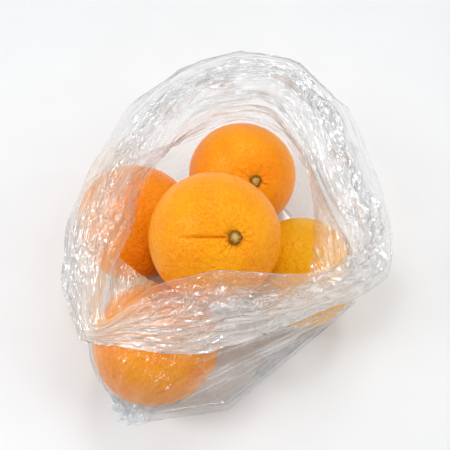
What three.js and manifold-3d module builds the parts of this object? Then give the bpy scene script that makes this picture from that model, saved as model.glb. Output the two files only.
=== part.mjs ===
// Five oranges in an open bag of clear film, whose mouth is turned out into a wide cuff.
// Millimetres, +Z up. The origin is on the table, on the bag's flat bottom under the heap,
// and +Y points away from the front of the bag, where its bottom seam lies.
import * as THREE from "three";
import Module from "manifold-3d";

const wasm = await Module();
wasm.setup();

// ---- driving sizes ----
const filmWall = 1.2; // the film's solid, far thicker than the real film of 0.03
const filmClearance = 2.3; // from the middle of the film to a fruit's skin
const cuffClearance = 4.5; // the same for the cuff, which lies over the wall
const restGap = 0.3; // between two pieces that touch
const fruitFloor = filmWall + restGap; // height of the lowest point of a fruit in the bottom layer

// Each fruit's radius and place. The bottom layer lies on the film, so only their ground positions are given.
// stalk is where the stalk end points: its lean from the vertical and its bearing from +X, in degrees.
const fruits = [
  { name: "orange_back", radius: 36.8, at: [15.6, 61.4], stalk: [36, -67] },
  { name: "orange_left", radius: 38.6, at: [-53.9, 25.6], stalk: [118, 160] },
  { name: "orange_right", radius: 35.6, at: [51.6, -7.9], stalk: [112, 12] },
  { name: "orange_front", radius: 38.5, at: [-37.3, -53.2], stalk: [128, -70] },
  { name: "orange_top", radius: 37.6, at: [-1.8, -4.9], height: 88, stalk: [29, -49], furrow: true },
];

// The skin's form: how far the ends are drawn in, and the dimple round the stalk
const endFlattening = 0.055; // of the radius, at the stalk and blossom ends
const lumpDepth = 0.9; // broad unevenness of the skin, inwards only
const stalkDimple = { depth: 2.0, width: 8 };
const blossomDimple = { depth: 0.7, width: 6 };
const furrow = { depth: 0.9, width: 2.2, from: 5, full: 9, fading: 22, to: 31 }; // a crease from the stalk to -x
const fruitSegments = [28, 18];

// The green button that is left of the stalk: a five-lobed star of even thickness, and the stub that it carries,
// whose foot and top are heights above the star's underside
const calyx = { radius: 3.5, lobe: 0.8, lobes: 5, thickness: 0.9, seat: 0.4, cornersPerLobe: 8 };
const stub = { topRadius: 1.2, footRadius: 1.5, foot: 0.1, top: 1.9, sides: 12 };

// The mouth of the bag, anticlockwise seen from above, from its front left corner: the neck is the fold where
// the wall turns out into the cuff, the hem is the film's free edge, and rise lifts the crest between them.
const mouth = [
  { neck: [-60, -50, 83], hem: [-77, -58, 67], rise: 5 },
  { neck: [-40, -38, 92], hem: [-50, -66, 75], rise: 8 },
  { neck: [-20, -34, 104], hem: [-28, -69, 77], rise: 8 },
  { neck: [-1, -33, 113], hem: [-6, -67, 77], rise: 7 },
  { neck: [20, -32, 107], hem: [20, -59, 75], rise: 7 },
  { neck: [40, -30, 98], hem: [50, -46, 71], rise: 9 },
  { neck: [58, -25, 90], hem: [80, -34, 70], rise: 12 },
  { neck: [72, -14, 86], hem: [98, -22, 70], rise: 14 },
  { neck: [68, 4, 86], hem: [104, 5, 70], rise: 16 },
  { neck: [58, 32, 86], hem: [98, 40, 75], rise: 17 },
  { neck: [47, 60, 89], hem: [82, 86, 81], rise: 17 },
  { neck: [29, 82, 92], hem: [53, 118, 86], rise: 16 },
  { neck: [2, 80, 92], hem: [14, 127, 88], rise: 15 },
  { neck: [-20, 68, 90], hem: [-26, 115, 85], rise: 15 },
  { neck: [-36, 44, 86], hem: [-61, 86, 77], rise: 15 },
  { neck: [-45, 24, 84], hem: [-81, 46, 71], rise: 15 },
  { neck: [-49, 2, 84], hem: [-92, 11, 66], rise: 15 },
  { neck: [-57, -20, 84], hem: [-92, -22, 63], rise: 13 },
];
const crestShare = 0.42; // how far across the cuff its crest runs
const ruffle = { depth: 2.2, folds: [9, 14] }; // soft folds that grow towards the hem

// The bottom of the bag: the film wraps the fruit down to small footprints, and its seam lies flat on the
// table at the front. height is how far up the wall each point of the seam still pulls the film out.
const footprint = 24;
const seam = [
  { at: [-55, -82], radius: 14, height: 34 }, // the crumpled left corner
  { at: [4, -82], radius: 6, height: 38 },
  { at: [84, -21], radius: 7, height: 50 }, // the right corner
];
const seamPull = 0.25; // share of the way to the middle that a seam's point moves as it runs up the wall
const waist = 39; // height of the widest part of the fruit, above which the wall leans in to the neck

const meridians = 60; // how finely the bag is divided round its mouth
const bandSteps = 72; // directions tried where the film is drawn tight round the fruit
const bandSweep = 170; // degrees that they cover
const baseRings = [0.45, 0.8]; // shares of the way out across the flat bottom
const heightStep = 1.5; // between the heights at which the wall is worked out
const wallSteps = 13; // even steps along the film from the table to the neck
const cuffSteps = [0.12, 0.28, 0.44, 0.6, 0.8, 1]; // shares of the way from the neck to the hem

const degrees = Math.PI / 180;

// ---- the fruit ----
for (const fruit of fruits) {
  fruit.centre = new THREE.Vector3(...fruit.at, fruit.height ?? fruit.radius + fruitFloor);
}

// A fruit's own axes: z to its stalk, and x as near as can be to +X of the bag.
function fruitFrame(fruit) {
  const [lean, bearing] = fruit.stalk.map((angle) => angle * degrees);
  const z = new THREE.Vector3(
    Math.sin(lean) * Math.cos(bearing),
    Math.sin(lean) * Math.sin(bearing),
    Math.cos(lean),
  );
  const y = new THREE.Vector3().crossVectors(z, new THREE.Vector3(1, 0, 0)).normalize();
  const x = new THREE.Vector3().crossVectors(y, z);
  return new THREE.Matrix4().makeBasis(x, y, z).setPosition(fruit.centre);
}

const bump = (distance, width) => Math.exp(-((distance / width) ** 2));

// How far the skin is from the fruit's centre, in the direction given on its own axes.
function skinRadius(fruit, direction) {
  const fromStalk = Math.acos(THREE.MathUtils.clamp(direction.z, -1, 1));
  const bearing = Math.atan2(direction.y, direction.x);
  const { radius } = fruit;
  const threeLobed = Math.cos(3 * bearing + radius) * Math.sin(fromStalk) ** 2;
  const twoLobed = Math.cos(2 * bearing - radius);
  let skin = radius * (1 - endFlattening * direction.z ** 4) + (lumpDepth / 4) * (threeLobed + twoLobed - 2);
  skin -= stalkDimple.depth * bump(radius * fromStalk, stalkDimple.width);
  skin -= blossomDimple.depth * bump(radius * (Math.PI - fromStalk), blossomDimple.width);
  if (fruit.furrow && direction.x < 0) {
    const along = radius * fromStalk;
    const aside = radius * direction.y;
    const begun = THREE.MathUtils.smoothstep(along, furrow.from, furrow.full);
    const ended = THREE.MathUtils.smoothstep(along, furrow.fading, furrow.to);
    skin -= furrow.depth * begun * (1 - ended) * bump(aside, furrow.width);
  }
  return skin;
}

function fruitMesh(fruit) {
  const geometry = new THREE.SphereGeometry(1, ...fruitSegments).rotateX(90 * degrees);
  const points = geometry.attributes.position;
  const direction = new THREE.Vector3();
  for (let i = 0; i < points.count; i++) {
    direction.fromBufferAttribute(points, i).normalize();
    direction.multiplyScalar(skinRadius(fruit, direction));
    points.setXYZ(i, ...direction);
  }
  const mesh = new THREE.Mesh(geometry, orangePeel);
  mesh.name = fruit.name;
  mesh.applyMatrix4(fruitFrame(fruit));
  return mesh;
}

// ---- the stalk buttons ----
function toManifold(geometry) {
  const plain = geometry.index ? geometry.toNonIndexed() : geometry;
  const positions = plain.attributes.position.array;
  const triVerts = Uint32Array.from({ length: positions.length / 3 }, (_, i) => i);
  const mesh = new wasm.Mesh({ numProp: 3, vertProperties: positions, triVerts });
  mesh.merge();
  return new wasm.Manifold(mesh);
}

function fromManifold(solid) {
  const { vertProperties, triVerts } = solid.getMesh();
  const geometry = new THREE.BufferGeometry();
  geometry.setAttribute("position", new THREE.BufferAttribute(vertProperties, 3));
  geometry.setIndex(new THREE.BufferAttribute(triVerts, 1));
  geometry.computeVertexNormals();
  return geometry;
}

function calyxGeometry() {
  const points = [];
  const corners = calyx.cornersPerLobe * calyx.lobes;
  for (let i = 0; i < corners; i++) {
    const turn = (2 * Math.PI * i) / corners;
    const reach = calyx.radius + calyx.lobe * Math.cos(calyx.lobes * turn);
    points.push(new THREE.Vector2(reach * Math.cos(turn), reach * Math.sin(turn)));
  }
  const star = new THREE.ExtrudeGeometry(new THREE.Shape(points), {
    depth: calyx.thickness,
    bevelEnabled: false,
  });
  const peg = new THREE.CylinderGeometry(stub.topRadius, stub.footRadius, stub.top - stub.foot, stub.sides);
  peg.rotateX(90 * degrees).translate(0, 0, (stub.top + stub.foot) / 2);
  return fromManifold(toManifold(star).add(toManifold(peg)));
}

function calyxMesh(fruit) {
  const rim = calyx.radius + calyx.lobe;
  const edge = new THREE.Vector3(rim, 0, fruit.radius).normalize();
  const seat = skinRadius(fruit, edge) * edge.z + calyx.seat;
  const mesh = new THREE.Mesh(calyxGeometry(), driedCalyx);
  mesh.name = fruit.name.replace("orange", "calyx");
  mesh.applyMatrix4(fruitFrame(fruit).multiply(new THREE.Matrix4().makeTranslation(0, 0, seat)));
  return mesh;
}

// ---- the bag ----
const neckLine = new THREE.CatmullRomCurve3(mouth.map(({ neck }) => new THREE.Vector3(...neck)), true);
const hemLine = new THREE.CatmullRomCurve3(mouth.map(({ hem }) => new THREE.Vector3(...hem)), true);
const riseLine = new THREE.CatmullRomCurve3(mouth.map(({ rise }) => new THREE.Vector3(rise, 0, 0)), true);

// The distance from the origin, on a bearing, of a band drawn tight round circles at one height.
function bandRadius(circles, bearing) {
  let nearest = Infinity;
  for (let i = 0; i < bandSteps; i++) {
    const turn = bearing + (i / bandSteps - 0.5) * bandSweep * degrees;
    const reach = Math.max(...circles.map(({ x, y, r }) => x * Math.cos(turn) + y * Math.sin(turn) + r));
    nearest = Math.min(nearest, reach / Math.cos(turn - bearing));
  }
  return nearest;
}

// What holds the film out at a height: the fruit, and near the table the seam.
function circlesAt(height) {
  const circles = [];
  for (const { centre, radius, height: raised } of fruits) {
    const slice = (radius + filmClearance) ** 2 - (height - centre.z) ** 2;
    const r = Math.sqrt(Math.max(slice, 0));
    if (!raised && height < centre.z) circles.push({ x: centre.x, y: centre.y, r: Math.max(footprint, r) });
    else if (r > 0) circles.push({ x: centre.x, y: centre.y, r });
  }
  for (const { at: [x, y], radius, height: reach } of seam) {
    const climbed = height / reach;
    const pull = 1 - seamPull * climbed;
    if (climbed < 1) circles.push({ x: x * pull, y: y * pull, r: radius * (1 - climbed) });
  }
  return circles;
}

// Moves a point of the film out to its clearance from any fruit that it would run through.
function clearOfFruit(point, clearance) {
  for (const { centre, radius } of fruits) {
    const offset = point.clone().sub(centre);
    if (offset.length() < radius + clearance) point.copy(centre).add(offset.setLength(radius + clearance));
  }
  return point;
}

// One meridian of the film, from the middle of the bottom to the hem; share is its place round the mouth.
function meridian(share) {
  const neck = neckLine.getPoint(share);
  const hem = hemLine.getPoint(share);
  const rise = riseLine.getPoint(share).x;
  const bearing = Math.atan2(hem.y, hem.x);
  const onBearing = (radius, height, turned = bearing) =>
    new THREE.Vector3(radius * Math.cos(turned), radius * Math.sin(turned), height);
  const foot = bandRadius(circlesAt(0), bearing);
  const points = baseRings.map((part) => onBearing(part * foot, filmWall / 2));

  clearOfFruit(neck, filmClearance);
  const widest = onBearing(bandRadius(circlesAt(waist), bearing), waist);
  const wall = [onBearing(foot, filmWall / 2)];
  for (let height = heightStep; height < waist; height += heightStep) {
    wall.push(onBearing(bandRadius(circlesAt(height), bearing), height));
  }
  for (let height = waist; height < neck.z - heightStep / 2; height += heightStep) {
    const straight = widest.clone().lerp(neck, (height - waist) / (neck.z - waist));
    const turned = Math.atan2(straight.y, straight.x);
    const radius = Math.max(Math.hypot(straight.x, straight.y), bandRadius(circlesAt(height), turned));
    wall.push(onBearing(radius, height, turned));
  }
  wall.push(neck);
  points.push(...new THREE.CatmullRomCurve3(wall).getSpacedPoints(wallSteps));

  for (const across of cuffSteps) {
    const arch = across < crestShare ? across / crestShare : (1 - across) / (1 - crestShare);
    const point = neck.clone().lerp(hem, across);
    const folds = ruffle.folds.reduce((sum, n, i) => sum + Math.cos(n * bearing + 2 * i), 0);
    point.z += rise * Math.sin((arch * Math.PI) / 2) + (ruffle.depth / 2) * across ** 2 * folds;
    const clearance = THREE.MathUtils.lerp(filmClearance, cuffClearance, Math.min(2 * across, 1));
    points.push(clearOfFruit(point, clearance));
  }
  return points;
}

// A closed shell of even thickness about a sheet, given as meridians that start round one middle point.
function shellGeometry(lines, middle, thickness) {
  const rounds = lines.length;
  const rows = lines[0].length;
  const positions = [];
  const indices = [];
  const vertex = (round, row, side) => 2 + 2 * ((round % rounds) * rows + row) + side;
  positions.push(middle.x, middle.y, middle.z - thickness / 2);
  positions.push(middle.x, middle.y, middle.z + thickness / 2);
  lines.forEach((line, round) => {
    line.forEach((point, row) => {
      const next = lines[(round + 1) % rounds][row];
      const before = lines[(round + rounds - 1) % rounds][row];
      const around = next.clone().sub(before);
      const along = line[Math.min(row + 1, rows - 1)].clone().sub(row ? line[row - 1] : middle);
      const out = around.cross(along).setLength(thickness / 2);
      if (row < baseRings.length) out.set(0, 0, -thickness / 2);
      positions.push(...point.clone().add(out), ...point.clone().sub(out));
    });
  });
  const quad = (a, b, c, d) => indices.push(a, b, c, a, c, d);
  for (let round = 0; round < rounds; round++) {
    const next = round + 1;
    indices.push(0, vertex(next, 0, 0), vertex(round, 0, 0));
    indices.push(1, vertex(round, 0, 1), vertex(next, 0, 1));
    for (let row = 0; row + 1 < rows; row++) {
      quad(vertex(round, row, 0), vertex(next, row, 0), vertex(next, row + 1, 0), vertex(round, row + 1, 0));
      quad(vertex(next, row, 1), vertex(round, row, 1), vertex(round, row + 1, 1), vertex(next, row + 1, 1));
    }
    const rim = rows - 1;
    quad(vertex(round, rim, 0), vertex(next, rim, 0), vertex(next, rim, 1), vertex(round, rim, 1));
  }
  const geometry = new THREE.BufferGeometry();
  geometry.setAttribute("position", new THREE.Float32BufferAttribute(positions, 3));
  geometry.setIndex(indices);
  geometry.computeVertexNormals();
  return geometry;
}

function bagMesh() {
  const lines = Array.from({ length: meridians }, (_, i) => meridian(i / meridians));
  const middle = new THREE.Vector3(0, 0, filmWall / 2);
  const mesh = new THREE.Mesh(shellGeometry(lines, middle, filmWall), clearFilm);
  mesh.name = "bag";
  return mesh;
}

// ---- materials ----
const orangePeel = new THREE.MeshStandardMaterial({ color: 0xf78f1a, roughness: 0.45, metalness: 0 });
const driedCalyx = new THREE.MeshStandardMaterial({ color: 0x7d7440, roughness: 0.8, metalness: 0 });
const clearFilm = new THREE.MeshStandardMaterial({
  color: 0xf2f4f5, roughness: 0.12, metalness: 0, transparent: true, opacity: 0.3,
});

const bagOfOranges = new THREE.Group();
for (const fruit of fruits) bagOfOranges.add(fruitMesh(fruit), calyxMesh(fruit));
bagOfOranges.add(bagMesh());

export default bagOfOranges;
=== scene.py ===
import math

import bpy
import numpy as np
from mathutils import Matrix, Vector, noise


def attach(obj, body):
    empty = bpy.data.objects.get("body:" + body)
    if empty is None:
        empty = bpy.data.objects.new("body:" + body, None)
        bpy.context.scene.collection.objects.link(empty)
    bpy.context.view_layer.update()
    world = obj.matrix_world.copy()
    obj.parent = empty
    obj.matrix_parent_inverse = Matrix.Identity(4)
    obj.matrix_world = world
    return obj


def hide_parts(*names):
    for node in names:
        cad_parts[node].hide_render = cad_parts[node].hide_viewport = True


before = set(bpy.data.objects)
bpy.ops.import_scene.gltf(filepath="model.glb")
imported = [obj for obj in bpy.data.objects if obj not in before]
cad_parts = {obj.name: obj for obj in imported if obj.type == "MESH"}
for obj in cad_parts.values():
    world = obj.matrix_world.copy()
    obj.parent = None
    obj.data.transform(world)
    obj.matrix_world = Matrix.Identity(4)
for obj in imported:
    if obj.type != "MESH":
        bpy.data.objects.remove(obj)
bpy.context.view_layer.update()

mm = 0.001
zUp = np.array([0.0, 0.0, 1.0])


def linear(hexColour):  # "#rrggbb" in sRGB to the linear RGBA that Blender's sockets take
    parts = [int(hexColour[i:i + 2], 16) / 255 for i in (1, 3, 5)]
    return (*[p / 12.92 if p <= 0.04045 else ((p + 0.055) / 1.055) ** 2.4 for p in parts], 1.0)


# settings: a socket or a property to its value. links: a socket to a source, or to a node's first output.
def addNode(tree, kind, settings=None, links=None):
    node = tree.nodes.new("ShaderNode" + kind)
    for name, value in (settings or {}).items():
        if isinstance(name, str) and hasattr(node, name):
            setattr(node, name, value)
        else:
            node.inputs[name].default_value = value
    for name, source in (links or {}).items():
        tree.links.new(getattr(source, "outputs", [source])[0], node.inputs[name])
    return node


def newMaterial(name):
    material = bpy.data.materials.new(name)
    material.use_nodes = True
    material.node_tree.nodes.clear()
    return material, material.node_tree


def addObject(name, data):
    added = bpy.data.objects.new(name, data)
    bpy.context.scene.collection.objects.link(added)
    return added


def lookFrom(at, towards):  # turns a camera or a lamp that stands at one place towards another
    return (Vector(towards) - Vector(at)).to_track_quat("-Z", "Y").to_euler()


def meshObject(name, points, faces, material):
    mesh = bpy.data.meshes.new(name)
    mesh.from_pydata(np.asarray(points).tolist(), [], faces)
    mesh.update()
    mesh.shade_smooth()
    mesh.materials.append(material)
    return addObject(name, mesh)


def gridFaces(rows, columns, closed=True):  # the quads between rows of points
    faces = []
    for row in range(0, (rows - 1) * columns, columns):
        for i in range(columns if closed else columns - 1):
            j = (i + 1) % columns
            faces.append((row + i, row + j, row + columns + j, row + columns + i))
    return faces


def solidFaces(rings, rounds):  # rings of points, closed by a point at each end: these two come last
    faces = [(a, d, c, b) for a, b, c, d in gridFaces(rings, rounds)]
    start, end, last = rings * rounds, rings * rounds + 1, (rings - 1) * rounds
    for i in range(rounds):
        j = (i + 1) % rounds
        faces += [(start, i, j), (end, last + j, last + i)]
    return faces


def pointVectors(piece, name, vectors):  # a vector on each vertex, which the material reads by name
    layer = piece.data.attributes.new(name, "FLOAT_VECTOR", "POINT")
    layer.data.foreach_set("vector", np.asarray(vectors, dtype=np.float32).ravel())


def bump(distance, width):
    return np.exp(-(distance / width) ** 2)


def smooth(value, low, high):  # from 0 at low to 1 at high
    t = np.clip((value - low) / (high - low), 0, 1)
    return t * t * (3 - 2 * t)


def swing(points, size, seed):  # smooth noise from about -1 to 1, whose bumps are about size apart
    moved = np.asarray(points) / size + np.array([17.3, -9.1, 4.7]) * seed
    return np.fromiter(map(noise.noise, moved.tolist()), float, len(moved))


def tent(points, size, seed):  # 1 on wandering lines about size apart, falling straight to 0 beside them
    return np.maximum(0, 1 - 4 * np.abs(swing(points, size, seed)))


def foldedAt(phase):  # straight folds between -1 and 1, one up and one down to each whole of the phase
    return 4 * np.abs(phase - np.floor(phase + 0.5)) - 1


def crumpled(points, size, steep, seed, folds=4):  # patches of folds that cross, about size apart
    dice = np.random.default_rng(seed)
    height = np.zeros(len(points))
    for index in range(folds):
        way = dice.normal(size=3)
        length = size * dice.uniform(0.75, 1.4)
        sway = 0.35 * size * swing(points, 3 * size, seed + index + 0.5)
        bent = points @ (way / np.linalg.norm(way)) + sway
        patch = smooth(swing(points, 2.4 * size, seed + index), -0.15, 0.2)
        height += patch * length * foldedAt(bent / length + dice.uniform())
    return height * steep / 4


# the camera, 66 degrees above the table
view = {"at": (0.004, -0.1356, 0.399), "towards": (0.004, 0.042, 0.0), "lens": 48, "sensor": 36}

camera = addObject("camera", bpy.data.cameras.new("camera"))
camera.location = view["at"]
camera.rotation_euler = lookFrom(view["at"], view["towards"])
camera.data.lens = view["lens"]
camera.data.sensor_width = view["sensor"]
bpy.context.scene.camera = camera
print("camera set")


# Sweet orange peel, waxed for sale: a satin skin with oil glands 1 to 1.5 mm apart, each a shallow pit. The
# eye sees a broad soft highlight that the pits break into yellow grains, and a darker dot in some pits. The
# yellow round each gland is partly the peel's own colour and partly a painted highlight, and the furrow's
# slit is painted darker, which is painted shade.
def waxedOrangePeel(name, seed, ripe):
    peel = {"skin": ("#ffab14", "#ff8c12"), "blotches": ("#ff9d10", "#fb7c10"),  # each pale, then fully ripe
            "blotch": 20 * mm, "blotchEdges": (0.38, 0.66), "apart": (0.31, 0.17, 0.23),
            "glandTintAndHighlight": "#ffbc0a", "glandSize": 1.4 * mm, "glandScatter": 0.95,
            "bend": 1.2 * mm, "bendSize": 3 * mm, "pitEdge": 0.5, "rimEdges": (0.35, 0.8), "rimShare": 0.3,
            "dot": "#e27a02", "dotEdge": 0.25, "dotShare": 0.16, "plainGlands": 0.75, "slit": "#cf6a0a",
            "pebble": 3.2 * mm, "pebbleDepth": 1.1 * mm, "pebbleStrength": 0.9, "pitDepth": 0.27 * mm,
            "roughness": 0.33, "ior": 1.4, "specular": 0.4, "sheen": "#ffe4b4",
            "glow": 0.08, "glowReach": (1.0, 0.45, 0.1), "glowDepth": 1.5 * mm}
    material, tree = newMaterial(name)
    place = addNode(tree, "TexCoord").outputs["Object"]
    shifted = addNode(tree, "VectorMath", {"operation": "ADD", 1: [seed * step for step in peel["apart"]]},
                      {0: place})
    blotches = addNode(tree, "TexNoise", {"Scale": 1 / peel["blotch"], "Detail": 2.0}, {"Vector": shifted})
    blotchShare = addNode(tree, "MapRange",
                          {"From Min": peel["blotchEdges"][0], "From Max": peel["blotchEdges"][1]},
                          {"Value": blotches})
    tones = [np.array(linear(pale)) * (1 - ripe) + np.array(linear(full)) * ripe
             for pale, full in (peel["skin"], peel["blotches"])]
    skin = addNode(tree, "Mix", {"data_type": "RGBA", 6: tones[0], 7: tones[1]}, {"Factor": blotchShare})
    wobble = addNode(tree, "TexNoise", {"Scale": 1 / peel["bendSize"], "Detail": 1.0}, {"Vector": shifted})
    warped = addNode(tree, "VectorMath", {"operation": "MULTIPLY_ADD", 1: [peel["bend"]] * 3},
                     {0: wobble.outputs["Color"], 2: shifted})
    glands = addNode(tree, "TexVoronoi", {"Scale": 1 / peel["glandSize"], "Randomness": peel["glandScatter"]},
                     {"Vector": warped})
    pit = addNode(tree, "MapRange", {"From Max": peel["pitEdge"], "interpolation_type": "SMOOTHSTEP"},
                  {"Value": glands})
    # the yellow round each gland: partly the peel's own colour, partly a painted highlight
    rimTintAndHighlight = addNode(tree, "MapRange", {"From Min": peel["rimEdges"][0], "From Max": peel["rimEdges"][1],
                                     "To Max": peel["rimShare"]}, {"Value": glands})
    coloured = addNode(tree, "Mix", {"data_type": "RGBA", 7: linear(peel["glandTintAndHighlight"])},
                       {"Factor": rimTintAndHighlight, 6: skin.outputs[2]})
    dotted = addNode(tree, "SeparateColor", links={0: glands.outputs["Color"]})
    dark = addNode(tree, "MapRange",
                   {"From Min": peel["dotEdge"], "From Max": 0.0, "To Max": peel["dotShare"]},
                   {"Value": glands})
    some = addNode(tree, "Math", {"operation": "GREATER_THAN", 1: peel["plainGlands"]}, {0: dotted})
    dots = addNode(tree, "Math", {"operation": "MULTIPLY"}, {0: dark, 1: some})
    speckled = addNode(tree, "Mix", {"data_type": "RGBA", 7: linear(peel["dot"])},
                       {"Factor": dots, 6: coloured.outputs[2]})
    # painted shade: the furrow's slit is coloured darker, for the shade that falls in it
    paintedSlitShadeMask = addNode(tree, "Attribute", {"attribute_name": "paintedSlitShadeMask"})
    speckled = addNode(tree, "Mix", {"data_type": "RGBA", 7: linear(peel["slit"])},
                       {"Factor": paintedSlitShadeMask.outputs["Fac"], 6: speckled.outputs[2]})
    pebbles = addNode(tree, "TexNoise", {"Scale": 1 / peel["pebble"], "Detail": 2.0}, {"Vector": shifted})
    coarse = addNode(tree, "Bump", {"Strength": peel["pebbleStrength"], "Distance": peel["pebbleDepth"]},
                     {"Height": pebbles})
    fine = addNode(tree, "Bump", {"Strength": 1.0, "Distance": peel["pitDepth"]},
                   {"Height": pit, "Normal": coarse})
    shader = addNode(tree, "BsdfPrincipled",
                     {"Roughness": peel["roughness"], "IOR": peel["ior"],
                      "Specular IOR Level": peel["specular"],
                      "Specular Tint": linear(peel["sheen"]), "Subsurface Weight": peel["glow"],
                      "Subsurface Radius": peel["glowReach"], "Subsurface Scale": peel["glowDepth"]},
                     {"Base Color": speckled.outputs[2], "Normal": fine})
    addNode(tree, "OutputMaterial", links={"Surface": shader})
    return material


# Dried calyx, the woody button left where the stalk was cut: matt and furrowed, cream round the scar in its
# middle, and browner outwards. Its darkest ring, in the groove before its lobes, is painted shade.
def driedCalyx(name):
    calyx = {"grain": 1.1 * mm, "grainShare": 0.6, "furrow": 0.6 * mm, "furrowStrength": 0.8,
             "roughness": 0.8, "ior": 1.4, "specular": 0.1,
             # the darkest band, at 0.7, is painted shade of the gap round the button
             "bands": [(0.0, "#9c7a36"), (0.16, "#dcba7e"), (0.4, "#c49c5a"), (0.56, "#ac8038"),
                       (0.7, "#7a4a08"), (0.86, "#8e5e0a"), (1.0, "#b0761a")]}
    material, tree = newMaterial(name)
    place = addNode(tree, "TexCoord").outputs["Object"]
    fromMiddle = addNode(tree, "Attribute", {"attribute_name": "fromMiddle"})
    grain = addNode(tree, "TexNoise", {"Scale": 1 / calyx["grain"], "Detail": 4.0}, {"Vector": place})
    blurred = addNode(tree, "Math", {"operation": "MULTIPLY_ADD", 1: calyx["grainShare"]},
                      {0: grain, 2: fromMiddle.outputs["Fac"]})
    share = addNode(tree, "Math", {"operation": "SUBTRACT", 1: calyx["grainShare"] / 2}, {0: blurred})
    ramp = addNode(tree, "ValToRGB", links={"Fac": share})
    bands = ramp.color_ramp.elements
    bands[0].color, bands[-1].color = linear(calyx["bands"][0][1]), linear(calyx["bands"][-1][1])
    for at, colour in calyx["bands"][1:-1]:
        bands.new(at).color = linear(colour)
    furrows = addNode(tree, "Bump", {"Strength": calyx["furrowStrength"], "Distance": calyx["furrow"]},
                      {"Height": grain})
    shader = addNode(tree, "BsdfPrincipled",
                     {"Roughness": calyx["roughness"], "IOR": calyx["ior"],
                      "Specular IOR Level": calyx["specular"]},
                     {"Base Color": ramp, "Normal": furrows})
    addNode(tree, "OutputMaterial", links={"Surface": shader})
    return material
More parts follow.
